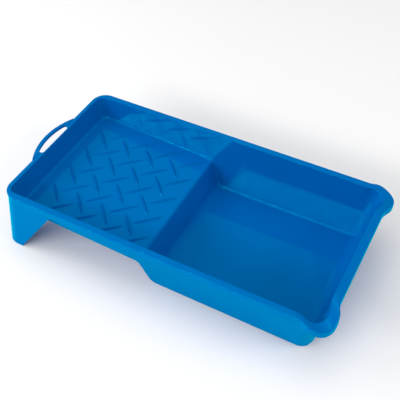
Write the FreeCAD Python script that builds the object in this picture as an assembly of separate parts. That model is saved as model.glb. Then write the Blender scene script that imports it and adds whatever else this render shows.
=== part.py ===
import FreeCAD, Part
import math
import os

# Mini roller tray, one thin-walled plastic moulding, drawn region by region.
# Axes: +X towards the pour end, +Y towards the left side seen from the handle, +Z up.
# Origin: on the ground, midway along the overall length and on the centre line.

V = FreeCAD.Vector

# ---- driving dimensions, mm ----
rim_length = 292.0        # outer edge of the rim, handle loop and lips not counted
rim_width = 150.0
height = 57.0             # ground to rim top
wall = 1.6                # wall thickness everywhere
draft = 0.14              # inward lean of the dish walls per mm of depth
flange_side = 5.65        # flat top of the rim along the two long sides
flange_ramp_end = 4.15
flange_pour_end = 6.8
skirt_height = 6.5        # turned-down outer edge of the rim, flange included
rim_corner_radius = 13.5
ramp_corner_radius = 6.0  # inside of the two corners at the ramp end
pour_corner_radius = 10.0
foot_radius = 2.6         # inside fillet where walls meet ramp and floor
cove_radius = 12.5        # large round where the floor turns up into the pour end wall
cove_bite = 0.05          # how far that round cuts past the faces it joins

ramp_depth_start = 21.8   # depth of the ramp under the rim at its high end
ramp_depth_end = 28.2     # and at its lower edge
ramp_start_x = -135.0
ramp_end_x = -17.7
step_angle = 74.0         # slope of the step down into the well, degrees
ridge_radius = 3.0        # inside radius over the ramp's lower edge
step_foot_radius = 8.0

lip_bulge = 4.0           # how far each pouring lip swells past the end of the rim
lip_side_bulge = 2.4      # and past its side
lip_dip = 4.0             # how far it dips under the rim top
lip_side_length = 23.0    # swelling along the side, measured from the end of the rim
lip_end_length = 30.0
lip_depth = 14.0          # depth at which the swelling has died out
lip_corner_radius = 15.0

leg_flare = 0.12          # outward lean of the legs per mm of depth
leg_top_length = 51.0     # along each face from the corner, just under the rim
leg_foot_length = 13.0
leg_tip_radius = 3.0
leg_crotch_radius = 12.0

loop_radius = 59.5        # hanging loop on the ramp end, outer curve
loop_reach = 8.7          # how far it stands out past the rim
loop_bar = 3.0            # width of the bar
loop_thickness = 2.4
loop_slot_half = 19.8     # half length of the slot
loop_slot_bite = 2.95     # how far the slot cuts into the rim flange
loop_slot_radius = 2.2

rib_pitch = 25.1          # between bars of one direction
rib_length = 25.4
rib_height = 1.7          # at the middle of a bar
rib_tip_height = 0.45
rib_half_width = 1.3
rib_first_x = -107.7      # first bar of the +45 degree family
rib_columns = 4

rim_edge_radius = 1.0     # rounding of the rim's top outer edge
rim_inner_radius = 0.5

gate_x = 4.3              # moulding gate mark on the well floor
gate_radius = 1.6
gate_height = 0.4

# ---- derived ----
half_len = rim_length / 2
half_wid = rim_width / 2
x_shift = (loop_reach - lip_bulge) / 2     # brings the overall length onto the origin
cut_y = 58.0              # regions are divided where the surfaces are plain
cut_ramp_x = -128.0
cut_ridge_x = -30.0
cut_well_x = 10.0
cut_floor_x = 112.0
cut_lip_x = half_len - lip_side_length - 6
cut_lip_y = half_wid - lip_end_length - 7
cut_lip_depth = lip_depth + 0.5
cut_rim_depth = wall + 0.5
cut_skirt_gap = 0.3       # the cut between skirt and dish runs this far inside the skirt
big = 400.0


def box(x0, x1, y0, y1, z0, z1):
    return Part.makeBox(x1 - x0, y1 - y0, z1 - z0, V(x0, y0, z0))


def bezier(points):
    curve = Part.BezierCurve()
    curve.setPoles(points)
    return curve.toShape()


def segment(a, b):
    return Part.makeLine(a, b)


def corner_arc(centre, radius, start_deg):
    circle = Part.Circle(centre, V(0, 0, 1), radius)
    a0 = math.radians(start_deg)
    return circle.toShape(a0, a0 + math.pi / 2)


def s_curve(a, b, along_x):
    """Curve from a to b that leaves and arrives along one axis."""
    if along_x:
        mid = (a.x + b.x) / 2
        return bezier([a, V(mid, a.y, a.z), V(mid, b.y, a.z), b])
    mid = (a.y + b.y) / 2
    return bezier([a, V(a.x, mid, a.z), V(b.x, mid, a.z), b])


def outline(xm, xp, yh, rm, rp, swell, z):
    """Plan outline, anticlockwise: plain corners at -X, lips at +X swollen by a share."""
    side_x = min(half_len - lip_side_length, xp - rp - 2)
    end_y = half_wid - lip_end_length
    far = yh + swell * lip_side_bulge
    reach = xp + swell * lip_bulge
    lip_x = reach - rp
    lip_y = far - rp
    edges = [
        segment(V(xm + rm, -yh, z), V(side_x, -yh, z)),
        s_curve(V(side_x, -yh, z), V(lip_x, -far, z), True),
        corner_arc(V(lip_x, -lip_y, z), rp, 270),
        s_curve(V(reach, -lip_y, z), V(xp, -end_y, z), False),
        segment(V(xp, -end_y, z), V(xp, end_y, z)),
        s_curve(V(xp, end_y, z), V(reach, lip_y, z), False),
        corner_arc(V(lip_x, lip_y, z), rp, 0),
        s_curve(V(lip_x, far, z), V(side_x, yh, z), True),
        segment(V(side_x, yh, z), V(xm + rm, yh, z)),
        corner_arc(V(xm + rm, yh - rm, z), rm, 90),
        segment(V(xm, yh - rm, z), V(xm, -yh + rm, z)),
        corner_arc(V(xm + rm, -yh + rm, z), rm, 180),
    ]
    return Part.Wire(edges)


def dish_outline(depth, out, swell):
    """Outline of the dish wall at a depth under the rim; out = 0 for the inside."""
    lean = draft * depth
    xm = -half_len + flange_ramp_end + lean - out
    xp = half_len - flange_pour_end - lean + out
    yh = half_wid - flange_side - lean + out
    return outline(xm, xp, yh, ramp_corner_radius + out, pour_corner_radius + out, swell, height - depth)


def dish_loft(out):
    """Tapered block between the dish walls, swelling out at the lips near the top."""
    top = dish_outline(-4.0, out, 1 + 4.0 / lip_depth)
    middle = dish_outline(lip_depth, out, 0)
    bottom = dish_outline(height + 4, out, 0)
    upper = Part.makeLoft([middle, top], True, True)
    lower = Part.makeLoft([bottom, middle], True, True)
    return upper.fuse(lower).removeSplitter()


def rounded_path(points, radii):
    """Polyline in the XZ plane with its inner vertices rounded."""
    edges = []
    start = points[0]
    for i in range(1, len(points) - 1):
        corner = points[i]
        to_prev = (points[i - 1] - corner).normalize()
        to_next = (points[i + 1] - corner).normalize()
        half = to_prev.getAngle(to_next) / 2
        back = radii[i - 1] / math.tan(half)
        a = corner + to_prev * back
        b = corner + to_next * back
        bisector = (to_prev + to_next).normalize()
        centre = corner + bisector * (radii[i - 1] / math.sin(half))
        middle = centre - bisector * radii[i - 1]
        edges.append(segment(start, a))
        edges.append(Part.Arc(a, middle, b).toShape())
        start = b
    edges.append(segment(start, points[-1]))
    return edges


def line_cross(p, d, q, e):
    """Crossing point of two lines in the XZ plane."""
    det = d.x * e.z - d.z * e.x
    t = ((q.x - p.x) * e.z - (q.z - p.z) * e.x) / det
    return p + d * t


def ramp_direction():
    slope = (ramp_depth_end - ramp_depth_start) / (ramp_end_x - ramp_start_x)
    return V(1, 0, -slope).normalize()


def lengthways_prism(out):
    """Everything above ramp, step and floor, drawn across the full width."""
    ramp = ramp_direction()
    step = V(math.cos(math.radians(step_angle)), 0, -math.sin(math.radians(step_angle)))
    edge = V(ramp_end_x, 0, height - ramp_depth_end)
    on_ramp = edge + V(ramp.z, 0, -ramp.x) * out
    on_step = edge + V(step.z, 0, -step.x) * out
    floor = wall - out
    ridge = line_cross(on_ramp, ramp, on_step, step)
    foot = line_cross(on_step, step, V(0, 0, floor), V(1, 0, 0))
    start = on_ramp - ramp * 200
    path = rounded_path([start, ridge, foot, V(200, 0, floor)], [ridge_radius - out, step_foot_radius + out])
    top = height + 30
    path.append(segment(V(200, 0, floor), V(200, 0, top)))
    path.append(segment(V(200, 0, top), V(start.x, 0, top)))
    path.append(segment(V(start.x, 0, top), start))
    face = Part.Face(Part.Wire(path))
    face.translate(V(0, -150, 0))
    return face.extrude(V(0, 300, 0))


def foot_edges(solid):
    """Edges running round the foot of the walls of a dish block."""
    found = []
    for edge in solid.Edges:
        b = edge.BoundBox
        across = b.YLength > 100 and -100 < b.XMin < 100
        upright = b.ZLength > 4 * math.hypot(b.XLength, b.YLength)
        if b.ZMax < height - 15 and not across and not upright:
            found.append(edge)
    return found


def cove_waste(out):
    """What the cove takes away outside the floor's upturn at the pour end."""
    up_wall = V(draft, 0, 1).normalize()
    along_floor = V(-1, 0, 0)
    half = along_floor.getAngle(up_wall) / 2
    corner = V(half_len - flange_pour_end - draft * (height - wall), 0, wall)
    to_centre = (along_floor + up_wall).normalize()
    centre = corner + to_centre * ((cove_radius - cove_bite) / math.sin(half))
    reach = 2 * (cove_radius + out)
    down = centre + V(0, 0, -1) * reach
    across = centre + V(up_wall.z, 0, -up_wall.x) * reach
    beyond = centre - to_centre * 2 * reach
    wedge = Part.Face(Part.makePolygon([centre, down, beyond, across, centre])).extrude(V(0, 300, 0))
    wedge.translate(V(0, -150, 0))
    roll = Part.makeCylinder(cove_radius + out, 300, centre - V(0, 150, 0), V(0, 1, 0))
    return wedge.cut(roll)


def dish_block(out):
    block = dish_loft(out).common(lengthways_prism(out))
    return block.makeFillet(foot_radius + out, foot_edges(block)).cut(cove_waste(out))


def plan_prism(inset, z0, z1):
    """Upright prism over the rim's plan, drawn in by an inset."""
    wire = outline(-half_len + inset, half_len - inset, half_wid - inset, rim_corner_radius - inset,
                   lip_corner_radius - inset, 1, z0)
    return Part.Face(wire).extrude(V(0, 0, z1 - z0))


def dip_prism(side, drop):
    """Space over the hollow in the rim at one lip, lowered by a drop."""
    w = (lip_side_length + lip_end_length) / 2 / math.sqrt(2) * 0.96
    z = height - drop
    low = z - lip_dip
    edges = [
        bezier([V(-w, 0, z), V(-w / 2, 0, z), V(-w / 2, 0, low), V(0, 0, low)]),
        bezier([V(0, 0, low), V(w / 2, 0, low), V(w / 2, 0, z), V(w, 0, z)]),
        segment(V(w, 0, z), V(w, 0, z + 20)),
        segment(V(w, 0, z + 20), V(-w, 0, z + 20)),
        segment(V(-w, 0, z + 20), V(-w, 0, z)),
    ]
    prism = Part.Face(Part.Wire(edges)).extrude(V(0, 60, 0))
    prism.translate(V(0, -35, 0))
    prism.rotate(V(0, 0, 0), V(0, 0, 1), -45 if side > 0 else -135)
    prism.translate(V(half_len, side * (half_wid - 2), 0))
    return prism


def under_rim(drop):
    """Everything lower than the rim's top surface let down by a drop."""
    space = box(-big, big, -big, big, -10, height - drop)
    return space.cut(dip_prism(1, drop)).cut(dip_prism(-1, drop))


def loop_slot():
    """Slot of the hanging loop: straight along the wall, curved along the bar."""
    centre_x = -half_len - loop_reach + loop_radius
    disc = Part.makeCylinder(loop_radius - loop_bar, 40, V(centre_x, 0, height - 20))
    x1 = -half_len + loop_slot_bite
    slot = disc.common(box(-big, x1, -loop_slot_half, loop_slot_half, height - 20, height + 20))
    upright = [e for e in slot.Edges if e.BoundBox.ZLength > 30]
    return slot.makeFillet(loop_slot_radius, upright)


def rim_top_edges(skin, border):
    """Edges of the rim's top surface that follow a border shape."""
    found = []
    for edge in skin.Edges:
        middle = edge.valueAt((edge.FirstParameter + edge.LastParameter) / 2)
        flat = edge.BoundBox.ZLength < lip_dip + 0.5
        low = middle.x < half_len - 2 * lip_end_length and middle.z < height - 0.01
        if not flat or low or middle.z < height - lip_dip - 0.2:
            continue
        if border.distToShape(Part.Vertex(middle))[0] < 0.02:
            found.append(edge)
    return found


def tray_shell():
    """Walls, ramp, step, floor and rim of the tray as one thin skin."""
    top = under_rim(0)
    band = plan_prism(0, height - 20, height).common(top.cut(under_rim(skirt_height)))
    channel = plan_prism(wall, height - 20, height).common(under_rim(wall))
    rim = band.cut(channel)
    skin = dish_block(wall).common(top).fuse(rim).cut(dish_block(0)).cut(loop_slot())
    skin = skin.removeSplitter()
    outside = plan_prism(0, height - lip_dip - 1, height + 1).Shells[0]
    skin = skin.makeFillet(rim_edge_radius, rim_top_edges(skin, outside))
    return skin.makeFillet(rim_inner_radius, rim_top_edges(skin, dish_block(0).Shells[0]))


def rounded_rect(x0, x1, y0, y1, r, z):
    edges = [
        segment(V(x0 + r, y0, z), V(x1 - r, y0, z)),
        corner_arc(V(x1 - r, y0 + r, z), r, 270),
        segment(V(x1, y0 + r, z), V(x1, y1 - r, z)),
        corner_arc(V(x1 - r, y1 - r, z), r, 0),
        segment(V(x1 - r, y1, z), V(x0 + r, y1, z)),
        corner_arc(V(x0 + r, y1 - r, z), r, 90),
        segment(V(x0, y1 - r, z), V(x0, y0 + r, z)),
        corner_arc(V(x0 + r, y0 + r, z), r, 180),
    ]
    return Part.Wire(edges)


def leg_loft(inset):
    """Block under the rim that widens towards the ground."""
    wires = []
    for z, grow in ((height - skirt_height, 0), (0, leg_flare * (height - skirt_height))):
        x = half_len + grow - inset
        y = half_wid + grow - inset
        wires.append(rounded_rect(-x, x, -y, y, rim_corner_radius - inset, z))
    return Part.makeLoft(wires, True, True)


def leg_side_view():
    """Side view of a leg: full height at the corner, cut away on a slope."""
    top = height - skirt_height + 0.4
    start = V(-half_len + leg_top_length + 25, 0, top)
    crotch = V(-half_len + leg_top_length, 0, top)
    tip = V(-half_len + leg_foot_length, 0, 0)
    path = rounded_path([start, crotch, tip, V(-big, 0, 0)], [leg_crotch_radius, leg_tip_radius])
    path.append(segment(V(-big, 0, 0), V(-big, 0, top + 3)))
    path.append(segment(V(-big, 0, top + 3), V(start.x, 0, top + 3)))
    path.append(segment(V(start.x, 0, top + 3), start))
    return Part.Face(Part.Wire(path))


def leg(side):
    """Corner leg: one arm along the side, one along the ramp end."""
    plate = leg_loft(0).cut(leg_loft(wall))
    arm_side = leg_side_view().extrude(V(0, 60, 0))
    arm_side.translate(V(0, half_wid - rim_corner_radius, 0))
    arm_end = leg_side_view().extrude(V(0, 60, 0))
    arm_end.rotate(V(0, 0, 0), V(0, 0, 1), -90)
    arm_end.translate(V(-half_len + rim_corner_radius - 60, half_wid - half_len, 0))
    arms = arm_side.fuse(arm_end)
    quarter = box(-big, 0, 0, big, -1, height)
    shape = plate.common(quarter).common(arms)
    if side < 0:
        shape = shape.mirror(V(0, 0, 0), V(0, 1, 0))
    return shape


def hanging_loop():
    """Curved bar standing out from the rim at the ramp end."""
    centre_x = -half_len - loop_reach + loop_radius
    z0 = height - loop_thickness
    disc = Part.makeCylinder(loop_radius, loop_thickness, V(centre_x, 0, z0))
    bar = disc.common(box(-big, -half_len, -big, big, z0 - 1, height + 1)).cut(loop_slot())
    return bar


def rib(angle):
    """Raised bar with a sharp ridge, arched along it, lying on a flat surface at z = 0."""
    l = rib_length / 2
    fall = rib_height / rib_half_width
    run = rib_half_width + 1
    ridge = Part.Arc(V(-l, 0, rib_tip_height), V(0, 0, rib_height), V(l, 0, rib_tip_height))
    edges = [
        segment(V(-l, 0, -1), V(-l, 0, rib_tip_height)),
        ridge.toShape(),
        segment(V(l, 0, rib_tip_height), V(l, 0, -1)),
        segment(V(l, 0, -1), V(-l, 0, -1)),
    ]
    face = Part.Face(Part.Wire(edges))
    far_flank = face.extrude(V(0, run, -run * fall))
    near_flank = face.extrude(V(0, -run, -run * fall))
    bar = far_flank.fuse(near_flank).common(box(-l - 1, l + 1, -run, run, 0, 5))
    bar.rotate(V(0, 0, 0), V(0, 0, 1), angle)
    return bar


def place_on_ramp(shape, x, y):
    """Lay a shape drawn at the origin onto the ramp's upper surface."""
    ramp = ramp_direction()
    tilt = math.degrees(math.atan2(-ramp.z, ramp.x))
    depth = ramp_depth_end + (x - ramp_end_x) * -ramp.z / ramp.x
    placed = shape.copy()
    placed.rotate(V(0, 0, 0), V(0, 1, 0), tilt)
    placed.translate(V(x, y, height - depth))
    return placed


def ramp_ribs():
    """Two families of crossed bars set alternately over the ramp."""
    up = rib(45)
    down = rib(-45)
    bars = []
    for i in range(rib_columns):
        x = rib_first_x + i * rib_pitch
        for j in range(-2, 3):
            bars.append(place_on_ramp(up, x, j * rib_pitch))
        for j in range(-2, 2):
            bars.append(place_on_ramp(down, x - rib_pitch / 2, (j + 0.5) * rib_pitch))
    return Part.makeCompound(bars)


def gate_mark():
    """Low round pip left where the plastic entered the mould."""
    r = (gate_radius ** 2 + gate_height ** 2) / (2 * gate_height)
    ball = Part.makeSphere(r, V(gate_x, 0, wall + gate_height - r))
    return ball.common(box(gate_x - 5, gate_x + 5, -5, 5, wall, wall + 5))


def regions(shell):
    """Divide the skin into its named regions on plain flat cuts."""
    parts = {}
    z_lip = height - cut_lip_depth
    z_rim = height - cut_rim_depth
    lips = {
        "pour_lip_left": box(cut_lip_x, big, cut_lip_y, big, z_lip, big),
        "pour_lip_right": box(cut_lip_x, big, -big, -cut_lip_y, z_lip, big),
    }
    rest = shell
    for name, zone in lips.items():
        parts[name] = shell.common(zone)
        rest = rest.cut(zone)
    inner = plan_prism(wall + cut_skirt_gap, -5, z_rim)
    rim = rest.cut(inner)
    dish = rest.common(inner)
    rim_zones = {
        "rim_left": box(-big, big, cut_y, big, z_rim, big),
        "rim_right": box(-big, big, -big, -cut_y, z_rim, big),
        "skirt_left": box(-big, big, cut_y, big, -1, z_rim),
        "skirt_right": box(-big, big, -big, -cut_y, -1, z_rim),
        "rim_ramp_end": box(-big, 0, -cut_y, cut_y, -1, big),
        "rim_pour_end": box(0, big, -cut_y, cut_y, -1, big),
    }
    for name, zone in rim_zones.items():
        parts[name] = rim.common(zone)
    dish_zones = {
        "ramp_side_left": box(-big, cut_ridge_x, cut_y, big, -1, big),
        "ramp_side_right": box(-big, cut_ridge_x, -big, -cut_y, -1, big),
        "step_side_left": box(cut_ridge_x, cut_well_x, cut_y, big, -1, big),
        "step_side_right": box(cut_ridge_x, cut_well_x, -big, -cut_y, -1, big),
        "well_side_left": box(cut_well_x, big, cut_y, big, -1, big),
        "well_side_right": box(cut_well_x, big, -big, -cut_y, -1, big),
        "ramp_end_wall": box(-big, cut_ramp_x, -cut_y, cut_y, -1, big),
        "ramp_panel": box(cut_ramp_x, cut_ridge_x, -cut_y, cut_y, -1, big),
        "well_step": box(cut_ridge_x, cut_well_x, -cut_y, cut_y, -1, big),
        "well_floor": box(cut_well_x, cut_floor_x, -cut_y, cut_y, -1, big),
        "pour_end_wall": box(cut_floor_x, big, -cut_y, cut_y, -1, big),
    }
    for name, zone in dish_zones.items():
        parts[name] = dish.common(zone)
    return parts


def main():
    parts = regions(tray_shell())
    parts["hanging_loop"] = hanging_loop()
    parts["leg_left"] = leg(1)
    parts["leg_right"] = leg(-1)
    parts["ramp_ribs"] = ramp_ribs()
    parts["gate_mark"] = gate_mark()
    os.makedirs("parts", exist_ok=True)
    for name, shape in parts.items():
        placed = shape.copy()
        placed.translate(V(x_shift, 0, 0))
        placed.exportStep("parts/" + name + ".step")


main()
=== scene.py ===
import math

import bpy
from mathutils import Matrix, Vector


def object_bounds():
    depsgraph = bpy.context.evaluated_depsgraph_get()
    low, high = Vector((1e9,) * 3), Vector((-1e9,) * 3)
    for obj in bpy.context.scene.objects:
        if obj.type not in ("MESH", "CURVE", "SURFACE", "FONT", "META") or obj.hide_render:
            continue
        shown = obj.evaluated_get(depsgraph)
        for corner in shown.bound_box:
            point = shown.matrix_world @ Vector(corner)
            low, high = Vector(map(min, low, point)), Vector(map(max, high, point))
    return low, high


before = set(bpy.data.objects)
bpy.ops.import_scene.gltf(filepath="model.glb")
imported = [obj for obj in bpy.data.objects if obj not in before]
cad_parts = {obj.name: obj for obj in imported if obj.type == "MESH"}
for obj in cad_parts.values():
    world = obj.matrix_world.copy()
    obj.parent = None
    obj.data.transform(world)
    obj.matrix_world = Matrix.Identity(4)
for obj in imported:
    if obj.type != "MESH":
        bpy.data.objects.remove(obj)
cad_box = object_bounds()

# ---- the plastic ----
DARK_BLUE = (0.0, 0.122, 0.440)
LIGHT_BLUE = (0.0, 0.132, 0.464)
LEAST_ROUGH = (0.03, 0.03, 0.03)
MOST_ROUGH = (0.065, 0.065, 0.065)
PLASTIC_IOR = 1.49
REFLECTION_LEVEL = 0.65
REFLECTION_TINT = (0.0, 0.80, 1.0, 1.0)
NO_RED = (0.0, 1.0, 1.0, 1.0)

# ---- the studio, metres and watts ----
FLOOR_HALF_SIZE = 3.0
FLOOR_GAP = 0.0005         # the floor lies this far under the tray
FLOOR_DARK = (0.93, 0.93, 0.93)
FLOOR_LIGHT = (0.96, 0.96, 0.96)
SKY_STRENGTH = 0.42
TRAY_MIDDLE = (0, 0, 0.03)

CAMERA_PLACE = (0.2013, -0.3277, 0.4667)
CAMERA_AZIMUTH = math.radians(30.64)
CAMERA_ELEVATION = math.radians(47.63)
CAMERA_ROLL = math.radians(-2.80)
CAMERA_LENS = 60.75        # mm, on a 36 mm wide sensor

scene = bpy.context.scene
scene.view_settings.view_transform = "Standard"
scene.view_settings.look = "None"


# ---- node helpers ----

def new_material(name):
    material = bpy.data.materials.new(name)
    material.use_nodes = True
    tree = material.node_tree
    tree.nodes.clear()
    out = tree.nodes.new("ShaderNodeOutputMaterial")
    shader = tree.nodes.new("ShaderNodeBsdfPrincipled")
    tree.links.new(shader.outputs["BSDF"], out.inputs["Surface"])
    return material, tree, shader


def noise(tree, coords, scale, detail, rough=0.5):
    node = tree.nodes.new("ShaderNodeTexNoise")
    node.inputs["Scale"].default_value = scale
    node.inputs["Detail"].default_value = detail
    node.inputs["Roughness"].default_value = rough
    tree.links.new(coords, node.inputs["Vector"])
    return node.outputs["Fac"]


def ramp(tree, value, low, high, start=0.0, end=1.0):
    """Map a 0-1 value between two colours."""
    node = tree.nodes.new("ShaderNodeValToRGB")
    first, last = node.color_ramp.elements
    first.position, last.position = start, end
    first.color = (*low, 1)
    last.color = (*high, 1)
    tree.links.new(value, node.inputs["Fac"])
    return node.outputs["Color"]


def math_node(tree, operation, a, b):
    node = tree.nodes.new("ShaderNodeMath")
    node.operation = operation
    for socket, value in zip(node.inputs, (a, b)):
        if isinstance(value, (int, float)):
            socket.default_value = value
        else:
            tree.links.new(value, socket)
    return node.outputs["Value"]


def bump(tree, height, distance, strength, normal=None):
    node = tree.nodes.new("ShaderNodeBump")
    node.inputs["Distance"].default_value = distance
    node.inputs["Strength"].default_value = strength
    tree.links.new(height, node.inputs["Height"])
    if normal is not None:
        tree.links.new(normal, node.inputs["Normal"])
    return node.outputs["Normal"]


# ---- moulded polypropylene ----

def moulded_plastic():
    """Deep blue polypropylene: high gloss, faint mottling and flow marks, fine mould texture."""
    material, tree, shader = new_material("blue_polypropylene")
    coords = tree.nodes.new("ShaderNodeTexCoord").outputs["Object"]

    mottle = noise(tree, coords, 28.0, 4.0)
    colour = ramp(tree, mottle, DARK_BLUE, LIGHT_BLUE, 0.3, 0.7)
    tree.links.new(colour, shader.inputs["Base Color"])

    haze = noise(tree, coords, 60.0, 3.0)
    scuff = noise(tree, coords, 900.0, 2.0, 0.7)
    haze_share = math_node(tree, "MULTIPLY", haze, 0.7)
    scuff_share = math_node(tree, "MULTIPLY", scuff, 0.3)
    mixed = math_node(tree, "ADD", haze_share, scuff_share)
    rough = ramp(tree, mixed, LEAST_ROUGH, MOST_ROUGH, 0.25, 0.75)
    tree.links.new(rough, shader.inputs["Roughness"])

    waviness = bump(tree, noise(tree, coords, 18.0, 1.0), 0.0004, 0.03)
    grain = bump(tree, noise(tree, coords, 2600.0, 2.0), 0.00002, 0.06, waviness)
    tree.links.new(grain, shader.inputs["Normal"])

    shader.inputs["IOR"].default_value = PLASTIC_IOR
    shader.inputs["Specular IOR Level"].default_value = REFLECTION_LEVEL
    shader.inputs["Specular Tint"].default_value = REFLECTION_TINT
    # At IOR 1 a coat reflects nothing itself: it only takes the red out of what lies under it.
    shader.inputs["Coat Weight"].default_value = 1.0
    shader.inputs["Coat IOR"].default_value = 1.0
    shader.inputs["Coat Tint"].default_value = NO_RED
    return material


plastic = moulded_plastic()
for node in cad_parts:
    piece = bpy.data.objects[node]
    for slot in piece.material_slots:
        slot.material = plastic
    if not piece.material_slots:
        piece.data.materials.append(plastic)


# ---- floor, light, camera ----

def pale_floor():
    mesh = bpy.data.meshes.new("floor")
    r = FLOOR_HALF_SIZE
    mesh.from_pydata([(-r, -r, 0), (r, -r, 0), (r, r, 0), (-r, r, 0)], [], [(0, 1, 2, 3)])
    floor = bpy.data.objects.new("floor", mesh)
    scene.collection.objects.link(floor)
    material, tree, shader = new_material("pale_floor")
    coords = tree.nodes.new("ShaderNodeTexCoord").outputs["Object"]
    tone = ramp(tree, noise(tree, coords, 3.0, 2.0), FLOOR_DARK, FLOOR_LIGHT)
    tree.links.new(tone, shader.inputs["Base Color"])
    shader.inputs["Roughness"].default_value = 0.9
    shader.inputs["Specular IOR Level"].default_value = 0.1
    mesh.materials.append(material)
    floor.location.z = cad_box[0][2] - FLOOR_GAP


def area_light(name, location, size, power):
    """Rectangular lamp, width by height, aimed at the middle of the tray."""
    light = bpy.data.lights.new(name, "AREA")
    light.shape = "RECTANGLE"
    light.size, light.size_y = size
    light.energy = power
    obj = bpy.data.objects.new(name, light)
    obj.location = location
    obj.rotation_euler = (Vector(TRAY_MIDDLE) - Vector(location)).to_track_quat("-Z", "Y").to_euler()
    scene.collection.objects.link(obj)


def studio_light():
    world = bpy.data.worlds.new("studio")
    world.use_nodes = True
    background = world.node_tree.nodes["Background"]
    background.inputs["Color"].default_value = (1, 1, 1, 1)
    background.inputs["Strength"].default_value = SKY_STRENGTH
    scene.world = world
    area_light("key", (-0.5, -1.15, 0.85), (1.4, 0.2), 11.5)
    area_light("left", (-1.3, -0.3, 0.7), (0.8, 0.8), 7)
    area_light("top", (0, 0.1, 1.5), (0.9, 0.9), 3.8)
    area_light("right", (1.3, 0.2, 0.7), (0.8, 0.8), 6)
    area_light("back", (-0.5, 0.6, 1.3), (1.0, 1.0), 0.9)


def studio_camera():
    """Camera in front of the pour end, looking down along the tray."""
    ahead = Vector((-math.sin(CAMERA_AZIMUTH) * math.cos(CAMERA_ELEVATION),
                    math.cos(CAMERA_AZIMUTH) * math.cos(CAMERA_ELEVATION),
                    -math.sin(CAMERA_ELEVATION)))
    level = Vector((math.cos(CAMERA_AZIMUTH), math.sin(CAMERA_AZIMUTH), 0))
    up = level.cross(ahead)
    right = level * math.cos(CAMERA_ROLL) + up * math.sin(CAMERA_ROLL)
    up = right.cross(ahead)
    data = bpy.data.cameras.new("camera")
    data.sensor_width = 36
    data.lens = CAMERA_LENS
    data.clip_start = 0.01
    camera = bpy.data.objects.new("camera", data)
    basis = Matrix((right, up, -ahead)).transposed().to_4x4()
    camera.matrix_world = Matrix.Translation(CAMERA_PLACE) @ basis
    scene.collection.objects.link(camera)
    scene.camera = camera


pale_floor()
studio_light()
studio_camera()
